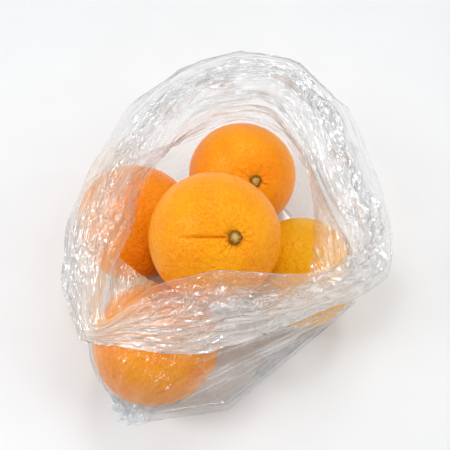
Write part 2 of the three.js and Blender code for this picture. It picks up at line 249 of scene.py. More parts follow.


# LDPE film, blown to 0.03 mm: clear, glossy, very slightly milky. Light passes straight on through a sheet so
# thin, so the sheet is Transparent, with the reflection of both its faces over it and the white haze of its
# scuffs. A crease bends light every way: it is a line that shines and is whiter than the rest, and where the
# film is crumpled the small facets throw back more of the room. Creases too fine for the mesh run along the
# film's own two directions, 1.2 mm apart, and the crinkles 1 mm apart: both coarser than they are, to show.
# Painted light in this film: the haze near the fruit is painted with its orange light, a crumple's facets and
# their haze are painted darker for the light they turn aside, creases at the back are painted grey for the
# dark room they mirror, and in bright patches the crinkle lines are painted white haze that stands in for
# glints.
def blownLdpeFilm(name):
    # painted light among these colours: the peach haze is painted orange light, and the greys seen through a
    # facet and on a crease at the back are painted shade
    film = {"clear": "#fdfdfd", "haze": "#f8fafc", "paintedOrangeLight": "#ffd8a4", "mirrored": "#f9fbfd",
            "turned": "#cbcbca", "paintedCreaseShade": "#c2c2c1",  # seen through a facet, and on a crease at the back
            "squareOn": 0.068, "layered": 0.1, "creaseGloss": 0.42, "crumpled": 0.04,  # shares mirrored
            "wallGrazing": 0.3, "wallEdges": (0.3, 0.85),  # the inside of the wall shines less
            "roughness": 0.17, "crumpledRoughness": 0.45, "creaseHaze": 1.0, "shadow": 0.15,
            "fineCrease": 1.2 * mm, "fineWidth": 0.05, "fineDepth": 0.3 * mm, "fineStrength": 0.7,
            "patch": 11 * mm, "patchEdges": (0.47, 0.6), "patchStep": 0.4,
            "crinkle": 0.52 * mm, "crinkleBend": 5 * mm, "crinkleDrift": 2.5 * mm, "crinkleSteep": 0.55,
            "crinklePatch": 3 * mm, "crinkleEdges": (0.44, 0.56), "crinkleLine": 0.18 * mm,
            "brightPatch": 5 * mm, "brightEdges": (0.47, 0.55), "facet": 1.4 * mm,
            "crinkleWays": [(1, 0.3, 0.5), (-0.4, 1, 0.3), (0.8, -0.7, 0.6), (0.2, 0.6, -1)]}
    material, tree = newMaterial(name)
    marks = addNode(tree, "Attribute", {"attribute_name": "creaseMark"})
    crease, crumple, scuff = addNode(tree, "SeparateXYZ", links={0: marks.outputs["Vector"]}).outputs
    lights = addNode(tree, "Attribute", {"attribute_name": "lightMark"})
    lightParts = addNode(tree, "SeparateXYZ", links={0: lights.outputs["Vector"]})
    fromBehind, paintedFacetShadeShare, paintedCreaseShadeShare = lightParts.outputs
    drawnOut = addNode(tree, "Attribute", {"attribute_name": "drawnOut"}).outputs["Vector"]
    fineMarks = addNode(tree, "Attribute", {"attribute_name": "fineMark"})
    fineParts = addNode(tree, "SeparateXYZ", links={0: fineMarks.outputs["Vector"]})
    alongShare, crossShare, paintedOrangeShare = fineParts.outputs
    fineLines = []
    runs = [("creaseRun", 0.0, alongShare), ("crossRun", film["patchStep"], crossShare)]
    for runName, offset, strength in runs:
        run = addNode(tree, "Attribute", {"attribute_name": runName})
        wave = addNode(tree, "TexNoise", {"Scale": 1 / film["fineCrease"], "Detail": 1.5, "Roughness": 0.7},
                       {"Vector": run.outputs["Vector"]})
        off = addNode(tree, "Math", {"operation": "SUBTRACT", 1: 0.5}, {0: wave})
        near = addNode(tree, "Math", {"operation": "ABSOLUTE"}, {0: off})
        line = addNode(tree, "MapRange", {"From Max": film["fineWidth"], "To Min": 1.0, "To Max": 0.0},
                       {"Value": near})
        moved = addNode(tree, "VectorMath", {"operation": "ADD", 1: (offset, 0.0, 0.0)}, {0: drawnOut})
        patch = addNode(tree, "TexNoise", {"Scale": 1 / film["patch"], "Detail": 1.0}, {"Vector": moved})
        shown = addNode(tree, "MapRange",
                        {"From Min": film["patchEdges"][0], "From Max": film["patchEdges"][1]},
                        {"Value": patch, "To Max": strength})
        fineLines.append(addNode(tree, "Math", {"operation": "MULTIPLY"}, {0: line, 1: shown}))
    bothWays = addNode(tree, "Math", {"operation": "MAXIMUM"}, {0: fineLines[0], 1: fineLines[1]})
    creased = addNode(tree, "Math", {"operation": "MAXIMUM"}, {0: crease, 1: bothWays})

    for index, way in enumerate(film["crinkleWays"]):
        onWay = addNode(tree, "VectorMath", {"operation": "DOT_PRODUCT", 1: Vector(way).normalized()},
                        {0: drawnOut})
        bend = addNode(tree, "TexNoise", {"Scale": 1 / film["crinkleBend"], "Detail": 0.0,
                                          "noise_dimensions": "4D", "W": index * 3.7}, {"Vector": drawnOut})
        bent = addNode(tree, "Math", {"operation": "MULTIPLY_ADD", 1: film["crinkleDrift"]},
                       {0: bend, 2: onWay.outputs["Value"]})
        zigzag = addNode(tree, "Math", {"operation": "PINGPONG", 1: film["crinkle"] * (0.8 + 0.25 * index)},
                         {0: bent})
        patch = addNode(tree, "TexNoise", {"Scale": 1 / film["crinklePatch"], "Detail": 1.0,
                                           "noise_dimensions": "4D", "W": index * 2.3 + 9},
                        {"Vector": drawnOut})
        share = addNode(tree, "MapRange",
                        {"From Min": film["crinkleEdges"][0], "From Max": film["crinkleEdges"][1]},
                        {"Value": patch})
        layer = addNode(tree, "Math", {"operation": "MULTIPLY"}, {0: zigzag, 1: share})
        onFold = addNode(tree, "MapRange", {"From Max": film["crinkleLine"], "To Min": 1.0, "To Max": 0.0},
                         {"Value": zigzag})
        line = addNode(tree, "Math", {"operation": "MULTIPLY"}, {0: onFold, 1: share})
        if index:
            layer = addNode(tree, "Math", {"operation": "ADD"}, {0: layer, 1: crinkleHeight})
            line = addNode(tree, "Math", {"operation": "MAXIMUM"}, {0: line, 1: crinkleLine})
        crinkleHeight, crinkleLine = layer, line
    # painted glints: in bright patches the crinkle lines are drawn as white haze, besides their real gloss
    brightPatch = addNode(tree, "TexNoise", {"Scale": 1 / film["brightPatch"], "Detail": 1.0},
                          {"Vector": drawnOut})
    bright = addNode(tree, "MapRange",
                     {"From Min": film["brightEdges"][0], "From Max": film["brightEdges"][1]},
                     {"Value": brightPatch, "To Max": crumple})
    paintedGlints = addNode(tree, "Math", {"operation": "MULTIPLY"}, {0: crinkleLine, 1: bright})
    creased = addNode(tree, "Math", {"operation": "MAXIMUM"}, {0: creased, 1: paintedGlints})
    crinkleDepth = addNode(tree, "Math", {"operation": "MULTIPLY"}, {0: crinkleHeight, 1: crumple})
    coarse = addNode(tree, "Bump", {"Strength": 1.0, "Distance": film["crinkleSteep"]},
                     {"Height": crinkleDepth})
    folded = addNode(tree, "Bump", {"Strength": film["fineStrength"], "Distance": film["fineDepth"]},
                     {"Height": bothWays, "Normal": coarse})

    # both faces mirror a little square on and all at a grazing angle, as the fifth power gives it
    slant = addNode(tree, "LayerWeight", {"Blend": 0.5}, {"Normal": folded})
    edgeOn = addNode(tree, "Math", {"operation": "POWER", 1: 5.0}, {0: slant.outputs["Facing"]})
    wallFrom, wallTo = film["wallEdges"]
    grazing = addNode(tree, "MapRange", {"From Min": wallFrom, "From Max": wallTo, "To Min": 1.0,
                                         "To Max": film["wallGrazing"]}, {"Value": fromBehind})
    faces = addNode(tree, "MapRange", {"To Min": film["squareOn"]}, {"Value": edgeOn, "To Max": grazing})
    creaseShine = addNode(tree, "MapRange",
                          {"From Max": wallTo, "To Min": film["creaseGloss"], "To Max": 0.0},
                          {"Value": fromBehind})
    facesSeen = addNode(tree, "Math", {"operation": "MULTIPLY"}, {0: faces, 1: grazing})
    facesSeen = addNode(tree, "Math", {"operation": "MULTIPLY_ADD", 1: film["layered"]},
                        {0: crumple, 2: facesSeen})
    gloss = addNode(tree, "Math", {"operation": "MULTIPLY_ADD", "use_clamp": True},
                    {0: creased, 1: creaseShine, 2: facesSeen})
    # what a thin sheet turns away from one place reaches another, so its shadow is lighter than its gloss
    ray = addNode(tree, "LightPath")
    kept = addNode(tree, "MapRange", {"To Min": 1.0, "To Max": film["shadow"]},
                   {"Value": ray.outputs["Is Shadow Ray"]})
    glossSeen = addNode(tree, "Math", {"operation": "MULTIPLY"}, {0: gloss, 1: kept})
    milky = addNode(tree, "Math", {"operation": "MULTIPLY_ADD", 1: film["creaseHaze"], "use_clamp": True},
                    {0: creased, 2: scuff})
    milkySeen = addNode(tree, "Math", {"operation": "MULTIPLY"}, {0: milky, 1: kept})
    crumpledShare = addNode(tree, "Math", {"operation": "MULTIPLY", 1: film["crumpled"]}, {0: crumple})
    crumpledSeen = addNode(tree, "Math", {"operation": "MULTIPLY"}, {0: crumpledShare, 1: kept})

    # painted shade: a crumple's facets are drawn darker, each by its own share, for the light they turn aside
    # from the straight way
    facet = addNode(tree, "TexVoronoi", {"Scale": 1 / film["facet"], "distance": "MANHATTAN"},
                    {"Vector": drawnOut})
    paintedFacetShadeTone = addNode(tree, "SeparateColor", links={0: facet.outputs["Color"]})
    turned = addNode(tree, "Math", {"operation": "MULTIPLY"}, {0: paintedFacetShadeTone, 1: paintedFacetShadeShare})
    straight = addNode(tree, "Mix",
                       {"data_type": "RGBA", 6: linear(film["clear"]), 7: linear(film["turned"])},
                       {"Factor": turned}).outputs[2]
    clear = addNode(tree, "BsdfTransparent", links={"Color": straight})
    # painted orange light: the haze takes the fruit's colour where it lies near it, for the light it carries
    white = addNode(tree, "Mix", {"data_type": "RGBA", 6: linear(film["haze"]), 7: linear(film["paintedOrangeLight"])},
                    {"Factor": paintedOrangeShare}).outputs[2]
    # painted shade: creases at the back and sides are drawn grey, for the dark room they mirror
    paintedCreaseShadeAmount = addNode(tree, "Math", {"operation": "MULTIPLY"}, {0: creased, 1: paintedCreaseShadeShare})
    white = addNode(tree, "Mix", {"data_type": "RGBA", 7: linear(film["paintedCreaseShade"])},
                    {"Factor": paintedCreaseShadeAmount, 6: white}).outputs[2]
    # painted shade: the haze is darkened with the facets too, as if shaded by them
    white = addNode(tree, "Mix", {"data_type": "RGBA", "blend_type": "MULTIPLY", "Factor": 1.0},
                    {6: white, 7: straight}).outputs[2]
    milk = addNode(tree, "BsdfDiffuse", links={"Color": white})
    through = addNode(tree, "BsdfTranslucent", links={"Color": white})
    haze = addNode(tree, "MixShader", links={0: fromBehind, 1: milk, 2: through})
    sheet = addNode(tree, "MixShader", links={0: milkySeen, 1: clear, 2: haze})
    scattered = addNode(tree, "BsdfGlossy",
                        {"Roughness": film["crumpledRoughness"], "Color": linear(film["mirrored"])})
    sheet = addNode(tree, "MixShader", links={0: crumpledSeen, 1: sheet, 2: scattered})
    shine = addNode(tree, "BsdfGlossy", {"Roughness": film["roughness"], "Color": linear(film["mirrored"])},
                    {"Normal": folded})
    shader = addNode(tree, "MixShader", links={0: glossSeen, 1: sheet, 2: shine})
    addNode(tree, "OutputMaterial", links={"Surface": shader})
    return material


# sphere: the fruit's place and radius in the model, in millimetres. stalk: its lean from the vertical and
# bearing from +X, in degrees. ripe: from yellow at 0 to deep orange at 1, and yellower still below 0.
oranges = {
    "back": {"sphere": (15.6, 61.4, 38.3, 36.8), "stalk": (36, -67), "furrow": False, "ripe": 0.6},
    "left": {"sphere": (-53.9, 25.6, 40.1, 38.6), "stalk": (118, 160), "furrow": False, "ripe": 0.8},
    "right": {"sphere": (51.6, -7.9, 37.1, 35.6), "stalk": (112, 12), "furrow": False, "ripe": -0.7},
    "front": {"sphere": (-37.3, -53.2, 40.0, 38.5), "stalk": (128, -70), "furrow": False, "ripe": 0.5},
    "top": {"sphere": (-1.8, -4.9, 88.0, 37.6), "stalk": (29, -49), "furrow": True, "ripe": 0.35},
}
# a tuple is a depth and a width, and for the furrow also where it starts and ends, from the stalk
# the slit's shade share: how strong the painted shade in the furrow's slit is
skinForm = {"endFlattening": 0.055, "lumps": 0.9 * mm, "stalkDimple": (2.0 * mm, 8 * mm),
            "blossomDimple": (0.7 * mm, 6 * mm), "furrow": (0.7 * mm, 2.2 * mm, 2.5 * mm, 38 * mm),
            "slit": (1.3 * mm, 0.6 * mm), "paintedSlitShade": 0.6, "pebble": (0.2 * mm, 3.6 * mm),
            "creases": (0.28 * mm, 13 * mm), "creaseCount": 11, "creaseStart": (2 * mm, 5 * mm),
            "grid": (200, 120), "quickGrid": (96, 56)}


def fruitAxes(stalk):  # columns: x as near as can be to the bag's +X, y, and z to the stalk
    lean, bearing = map(math.radians, stalk)
    z = np.array([math.sin(lean) * math.cos(bearing), math.sin(lean) * math.sin(bearing), math.cos(lean)])
    y = np.cross(z, [1.0, 0.0, 0.0])
    y /= np.linalg.norm(y)
    return np.column_stack([np.cross(y, z), y, z])


def alongFurrow(fromStalk, bearing, radius):  # 1 over the furrow's length, and how far to its side
    start, end = skinForm["furrow"][2:]
    along = radius * fromStalk
    inside = smooth(along, start, start + 4 * mm) * (1 - smooth(along, 0.5 * end, end))
    return inside * (np.cos(bearing) < 0), radius * np.sin(fromStalk) * np.sin(bearing)


def skinRadius(fromStalk, bearing, radius, furrowed):
    form = skinForm
    lumps = np.cos(3 * bearing + radius / mm) * np.sin(fromStalk) ** 2 + np.cos(2 * bearing - radius / mm) - 2
    skin = radius * (1 - form["endFlattening"] * np.cos(fromStalk) ** 4) + form["lumps"] / 4 * lumps
    for dimple, away in (("stalkDimple", fromStalk), ("blossomDimple", np.pi - fromStalk)):
        depth, width = form[dimple]
        skin -= depth * bump(radius * away, width)
    if furrowed:
        inside, aside = alongFurrow(fromStalk, bearing, radius)
        for depth, width in (form["furrow"][:2], form["slit"]):
            skin -= inside * depth * bump(aside, width)
    return skin


def makeOrange(name, index):
    x, y, z, r = (v * mm for v in oranges[name]["sphere"])
    spec, form = oranges[name], skinForm
    rounds, rings = form["grid"]
    fromStalk = np.linspace(0, np.pi, rings + 1)[1:-1]
    turn = np.arange(rounds) / rounds * 2 * np.pi
    lean, bearing = (a.ravel() for a in np.meshgrid(fromStalk, turn, indexing="ij"))
    lean = np.concatenate([lean, [0.0, np.pi]])
    bearing = np.concatenate([bearing, [0.0, 0.0]])
    skin = skinRadius(lean, bearing, r, spec["furrow"])
    way = np.column_stack([np.sin(lean) * np.cos(bearing), np.sin(lean) * np.sin(bearing), np.cos(lean)])
    depth, size = form["pebble"]
    skin -= depth * (1 + swing(way * r, size, index + 1))
    radial = np.cos(form["creaseCount"] * bearing + 2 * np.sin(3 * bearing))
    radial *= smooth(lean * r, *form["creaseStart"])
    depth, reach = form["creases"]
    skin -= depth * (1 + radial) * bump(lean * r, reach)
    points = (way * skin[:, None]) @ fruitAxes(spec["stalk"]).T + [x, y, z]
    piece = meshObject("orange_skin_" + name, points, solidFaces(rings - 1, rounds),
                       waxedOrangePeel("waxed orange peel " + name, index, spec["ripe"]))
    # painted shade along the furrow's slit, which the peel colours darker
    inside, aside = alongFurrow(lean, bearing, r)
    slit = form["paintedSlitShade"] * inside * bump(aside, form["slit"][1]) * spec["furrow"]
    pointVectors(piece, "paintedSlitShadeMask", np.repeat(slit[:, None], 3, 1))
    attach(piece, "root")
    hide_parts("orange_" + name)


# profile: from the button's middle to under its edge, the share of its radius and of its height
button = {"radius": 4.0 * mm, "lobes": 5, "lobe": 0.3 * mm, "height": 0.9 * mm, "rise": 0.35 * mm,
          "under": 0.35, "scar": 0.4, "lobeHeight": 0.3, "rounds": 60,
          "profile": [(0.0, 0.75), (0.12, 0.85), (0.24, 1.05), (0.31, 0.9), (0.38, 0.35), (0.48, 0.45),
                      (0.64, 0.8), (0.8, 0.65), (0.92, 0.25), (1.0, -0.15), (0.9, -0.35)]}


def makeButton(name, material):
    x, y, z, r = (v * mm for v in oranges[name]["sphere"])
    rounds, high = button["rounds"], button["height"]
    turn = np.arange(rounds) / rounds * 2 * np.pi
    wave = np.cos(button["lobes"] * turn + 1.1 * np.sin(2 * turn))
    uneven = 0.6 * wave + 0.5 * np.cos(3 * turn + r / mm) + 0.4 * np.cos(9 * turn)
    edge = button["radius"] + button["lobe"] * uneven
    shares, heights = zip(*button["profile"])
    rimSkin = skinRadius(np.array([button["radius"] / r]), np.array([0.0]), r, False)[0] + button["rise"]
    points = []
    for share, height in zip(shares[1:], heights[1:]):
        onLobes = share > button["scar"]
        reach = share * (edge if onLobes else button["radius"])
        ring = np.column_stack([reach * np.cos(turn), reach * np.sin(turn), np.full(rounds, rimSkin)])
        ring[:, 2] += high * height * (1 + button["lobeHeight"] * wave * onLobes * (height > 0))
        points.append(ring)
    ends = [[0, 0, rimSkin + high * heights[0]], [0, 0, rimSkin - high * button["under"]]]
    points = np.concatenate([*points, ends])
    points = points @ fruitAxes(oranges[name]["stalk"]).T + [x, y, z]
    piece = meshObject("stalk_button_" + name, points, solidFaces(len(shares) - 1, rounds), material)
    fromMiddle = np.concatenate([np.repeat(shares[1:], rounds), [0, 1]])
    pointVectors(piece, "fromMiddle", np.repeat(fromMiddle[:, None], 3, 1))
    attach(piece, "root")
    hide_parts("calyx_" + name)


buttonFinish = driedCalyx("dried calyx")
for index, name in enumerate(oranges):
    makeOrange(name, index)
    makeButton(name, buttonFinish)
print("oranges made")


# The bag, in millimetres. neck: the fold where the wall turns out into the cuff. hem: the film's free edge.
# rise: how far the cuff's crest stands above the straight way between them. Anticlockwise from front left.
mouth = {
    "neck": [(-60, -50, 83), (-40, -38, 92), (-20, -34, 104), (-1, -33, 113), (20, -32, 107), (40, -30, 98),
             (58, -25, 90), (72, -14, 86), (68, 4, 86), (58, 32, 86), (47, 60, 89), (29, 82, 92), (2, 80, 92),
             (-20, 68, 90), (-36, 44, 86), (-45, 24, 84), (-49, 2, 84), (-57, -20, 84)],
    "hem": [(-77, -58, 67), (-50, -64, 76), (-28, -68, 77), (-6, -67, 77), (20, -59, 75), (50, -46, 71),
            (80, -34, 70), (98, -22, 70), (104, 5, 70), (98, 40, 75), (82, 86, 81), (53, 118, 86),
            (14, 127, 88), (-26, 115, 85), (-61, 86, 77), (-81, 46, 71), (-92, 11, 66), (-92, -22, 63)],
    "rise": [5, 8, 8, 7, 7, 9, 12, 14, 16, 17, 17, 16, 15, 15, 15, 15, 15, 13],
    "crest": 0.42,  # where across the cuff the crest is
    "hemStraight": 0.65,  # how straight the hem runs between its points
    "hemWave": 1.1,
    "hemCurl": [(-0.1, 0.2), (0.1, 0.4), (0.5, 0.5)],  # how far the cut edge turns back and drops
}
# the seam's ends and a place between them: ground place, radius, reach up the wall
seam = [((-55, -82), 14, 34), ((4, -82), 6, 38), ((91, -15), 3, 50)]
# grid: columns, and rows on the wall and the cuff. steps: sections from which they are worked out.
bagForm = {"footprint": 24, "waist": 39, "bandGap": 1.0, "neckGap": 1.0, "cuffGap": 2.4, "filmGap": 0.5,
           "bottom": 0.3, "lowest": 0.25, "bottomRows": 24, "bandStep": 1.5, "wallSteps": 36, "cuffSteps": 60,
           "grid": (900, 130, 90), "quickGrid": (420, 64, 44)}


def throughPoints(a, b, c, d, t):  # the Catmull-Rom curve from b to c
    return b + 0.5 * t * (c - a + t * (2 * a - 5 * b + 4 * c - d + t * (3 * (b - c) + d - a)))


def closedCurve(points, shares, straight=0.0):  # round through the points, or partly straight between them
    points = np.asarray(points, float).reshape(len(points), -1)
    n = len(points)
    at = np.asarray(shares) * n
    i = np.floor(at).astype(int)
    t = (at - i)[:, None]
    a, b, c, d = (points[(i + k) % n] for k in (-1, 0, 1, 2))
    curved = throughPoints(a, b, c, d, t)
    return curved + straight * (b + (c - b) * t - curved)


def openCurve(points, count):  # through the points from the first to the last
    points = np.array(points, float)
    ends = np.vstack([2 * points[0] - points[1], points, 2 * points[-1] - points[-2]])
    at = np.linspace(0, len(points) - 1.001, count)
    i = np.floor(at).astype(int)
    return throughPoints(*(ends[i + k] for k in range(4)), (at - i)[:, None])


def bandRadius(height, bearing):  # how far out a band drawn tight round fruit and seam lies at a height
    circles = []
    for name, fruit in oranges.items():
        x, y, z, r = fruit["sphere"]
        cut = math.sqrt(max((r + bagForm["bandGap"]) ** 2 - (height - z) ** 2, 0))
        if name != "top" and height < z:
            circles.append((x, y, max(bagForm["footprint"], cut)))
        elif cut > 0:
            circles.append((x, y, cut))
    for (x, y), r, reach in seam:
        left = 1 - height / reach
        if left > 0:
            pull = 0.75 + 0.25 * left
            circles.append((x * pull, y * pull, r * left))
    if not circles:
        return np.full(len(bearing), -1.0)
    turn = np.linspace(-np.pi, np.pi, 360, endpoint=False)
    reach = np.max([x * np.cos(turn) + y * np.sin(turn) + r for x, y, r in circles], axis=0)
    ahead = np.cos(turn[None, :] - bearing[:, None])
    least = 0.09  # the cosine below which a side of the band is too oblique to count
    return np.where(ahead > least, reach[None, :] / np.maximum(ahead, least), np.inf).min(1)


def onBearing(radius, bearing, height):
    level = np.broadcast_to(height, bearing.shape)
    return np.column_stack([radius * np.cos(bearing), radius * np.sin(bearing), level])


def evenly(rows, count):  # each column's polyline, resampled to count points evenly spaced along it
    rows = np.asarray(rows)
    steps = np.linalg.norm(np.diff(rows, axis=0), axis=2)
    length = np.vstack([np.zeros(rows.shape[1]), np.cumsum(steps, 0)])
    out = np.empty((count, rows.shape[1], 3))
    for column in range(rows.shape[1]):
        want = np.linspace(0, length[-1, column], count)
        for axis in range(3):
            out[:, column, axis] = np.interp(want, length[:, column], rows[:, column, axis])
    return out


def pushOut(points, gap, relief=0.0):  # moves points out of the fruit
    for fruit in oranges.values():
        middle, r = np.array(fruit["sphere"][:3]), fruit["sphere"][3]
        offset = points - middle
        far = np.linalg.norm(offset, axis=1)
        keep = np.broadcast_to(r + gap + relief, far.shape)
        points = np.where((far < keep)[:, None], middle + offset / far[:, None] * keep[:, None], points)
    return points


def bagSheet(columns, wallRows, cuffRows):
    share = np.arange(columns) / columns
    neck = closedCurve(mouth["neck"], share)
    hem = closedCurve(mouth["hem"], share, mouth["hemStraight"])
    rise = closedCurve(mouth["rise"], share)[:, 0]
    bearing = np.arctan2(hem[:, 1], hem[:, 0])
    neck = pushOut(neck, bagForm["neckGap"])
    foot = bandRadius(0, bearing)
    low = bagForm["bottom"]
    base = [onBearing(foot * part, bearing, low) for part in np.linspace(0.04, 0.97, bagForm["bottomRows"])]

    waist, step = bagForm["waist"], bagForm["bandStep"]
    wall = [onBearing(foot, bearing, low)]
    for height in np.arange(step, waist, step):
        wall.append(onBearing(bandRadius(height, bearing), bearing, height))
    widest = onBearing(bandRadius(waist, bearing), bearing, waist)
    for climbed in np.linspace(0, 1, bagForm["wallSteps"])[:-1]:
        straight = widest + (neck - widest) * climbed
        turned = np.arctan2(straight[:, 1], straight[:, 0])
        level = np.round(straight[:, 2])
        radius = np.hypot(straight[:, 0], straight[:, 1])
        for z in np.unique(level):
            here = level == z
            radius[here] = np.maximum(radius[here], bandRadius(float(z), turned[here]))
        wall.append(onBearing(radius, turned, straight[:, 2]))
    wall.append(neck)
    wall = evenly(wall, wallRows)

    cuff, crest = [], mouth["crest"]
    for across in np.linspace(0, 1, bagForm["cuffSteps"])[1:]:
        arch = across / crest if across < crest else (1 - across) / (1 - crest)
        row = neck + (hem - neck) * across
        row[:, 2] += rise * math.sin(arch * math.pi / 2)
        row[:, 2] += mouth["hemWave"] * across ** 2 * (np.cos(9 * bearing) + np.cos(14 * bearing + 2))
        cuff.append(pushOut(row, bagForm["neckGap"] + bagForm["cuffGap"] * min(2 * across, 1)))
    cuff = evenly([neck, *cuff], cuffRows + 1)[1:]

    back = cuff[-7] - cuff[-1]
    back /= np.linalg.norm(back, axis=1)[:, None]
    under = [cuff[-1] + back * run - zUp * drop for run, drop in mouth["hemCurl"]]
    rows = np.concatenate([base, wall, cuff, under])
    part = np.concatenate([np.linspace(-1, 0, len(base), endpoint=False), np.linspace(0, 1, wallRows),
                           np.linspace(1, 2, cuffRows + 1)[1:], np.linspace(2.01, 2.1, len(under))])
    return rows, part, len(base) + wallRows - 1


def sheetNormals(rows, closed=True):
    around = np.roll(rows, -1, 1) - np.roll(rows, 1, 1) if closed else np.gradient(rows, axis=1)
    along = np.gradient(rows, axis=0)
    normal = np.cross(around, along)
    return normal / np.maximum(np.linalg.norm(normal, axis=2, keepdims=True), 1e-9)


# The film's folds, in millimetres. A table of zones says how much of a fold each zone of the bag takes. The
# zones go from 0 to about 1, and filmZones says where they are.
filmFolds = {
    "soft": {"bareWall": 1.6, "onCuff": 1.0},
    # long folds round the mouth: how they go with the way from the neck and with the drift, spacing, and
    # their height on the cuff and on the wall
    "along": [(1, 1, 6.5, 0.45, 0.8), (1, -1.6, 9, 0.6, 0.9), (0.9, 0.4, 3.6, 0.28, 0)],
    "hemFold": {"spacing": 2.9, "drift": 2.5, "height": 0.15},
    # tight folds that fan out from the seam's two ends: ground place, spacing, seed
    "leftFan": (-62, -90, 3.0, 6), "rightFan": (92, -14, 2.6, 16), "fanHeight": 0.45, "fanHeightRight": 0.75,
    "crumples": [(12, 0.45, 50), (5.5, 0.5, 60), (2.6, 0.5, 70)],  # size, steepness, seed
    "crumpledCuff": {"onCuff": 0.12, "crest": 0.95, "frontCuff": 0.2, "cluster": 0.6, "shoulder": 0.9},
    "crumpledElsewhere": {"corner": 1.2, "upperWall": 0.35, "shoulderCrumple": 0.5},
    "sharpCrumple": (5, 0.8, 95), "sharp": {"cluster": 1, "shoulderCrumple": 0.35},
    # how the left corner is gathered in X, Y and up: height and seed of the soft folds, and of the sharp ones
    "gather": [(2.6, 91, 1.4, 101), (2.6, 92, 1.4, 102)], "gatherUp": (1.5, 3.2, 93, 2, 94),
    "relief": (0.3, 0.25, 0.45),  # how far the film stands off the fruit: everywhere, on a fan, where pulled
    "flatFaces": 0.35,  # how crumpled a place is where its faces turn flat
    # single creases that run on for long. shine: how much of a crease the eye sees.
    "single": {
        "hem": {"span": (15, 43.5), "number": 20, "drift": 2.5, "widths": (0.3, 0.65), "seed": 250,
                "height": 0.5, "shine": 2.6},
        "ridge": {"span": (3, 43), "number": 18, "drift": 6, "widths": (0.35, 0.8), "seed": 230,
                  "height": 0.5, "shine": 0.9},
        "arc": {"span": (-36, 5), "number": 14, "drift": 8, "widths": (0.4, 0.9), "seed": 210,
                "height": 0.5, "shine": 0.9},
        "flank": {"span": (200, 236), "number": 16, "drift": 1.5, "widths": (0.3, 0.8), "seed": 270,
                  "height": 0.6, "shine": 1.3},
        "fruit": {"span": (15, 130), "number": 16, "drift": 4, "widths": (0.4, 1.0), "seed": 290,
                  "height": 0.0, "shine": 0.6},
    },
}
# What the film's material shows, as shares of the zones. crumple: how strongly the fine crinkles are drawn.
# haze: how milky it is. fine, cross: fine creases along and across. behind: how far the light comes from
# behind. turned: how much painted shade the facets take, for the light they turn aside.
filmLooks = {
    "edges": {"neckFold": 0.12, "frontNeckFold": 0.08, "hemEdge": 0.2, "sealLine": 0.3},
    "alongShine": 0.8, "fanShine": 0.25, "fanShineRight": 0.9,
    "crumpleCuff": {"onCuff": 0.12, "crest": 1, "frontCuff": 0.45, "cluster": 1.3, "shoulder": 1.6},
    "crumpleElsewhere": {"corner": 0.8, "innerArcs": 0.5, "upperWall": 0.3, "flankPatch": 0.1,
                         "rightPatch": 0.3},
    "haze": {"everywhere": 0.01, "cuffPastNeck": 0.02, "shoulder": 0.28, "crest": 0.03, "cornerCore": 0.55,
             "frontRoll": 0.07, "leftRoll": 0.2, "bareWall": 0.03, "backWall": 0.06, "hemBand": 0.15,
             "hemFrontLeft": 0.14, "hemStreaks": 0.25, "cluster": 0.03, "frontLip": 0.08, "rightLip": 0.1,
             "leftHaze": 0.12, "leftStreaks": 0.24, "leftVeil": 0.12},
    "fine": {"creasedCuff": 0.45, "pulled": 0.04, "pulledRight": 0.46, "bareWall": 0.3, "hemBand": 0.4},
    "cross": {"creasedCuff": 0.35, "bareWall": 0.12, "pulled": 0.08},
    "behind": {"everywhere": 0.25, "backFilm": 0.6, "pulledLeft": 0.3},
    # painted shade on the crumpled facets
    "turned": {"backCrest": 0.8, "corner": 0.1, "innerArcs": 0.7, "hemLeft": 0.25, "cluster": 0.4,
               "pulled": 0.35},
    # painted orange light in the haze over the fruit, in front and on the left
    "paintedOrangeFront": 0.5, "paintedOrangeLeft": 0.8,
}
cuffAcross = 44  # mm, about how wide the cuff is


def weighed(zones, shares):  # the sum of the zones, each by its share
    return sum(share * zones[name] for name, share in shares.items())


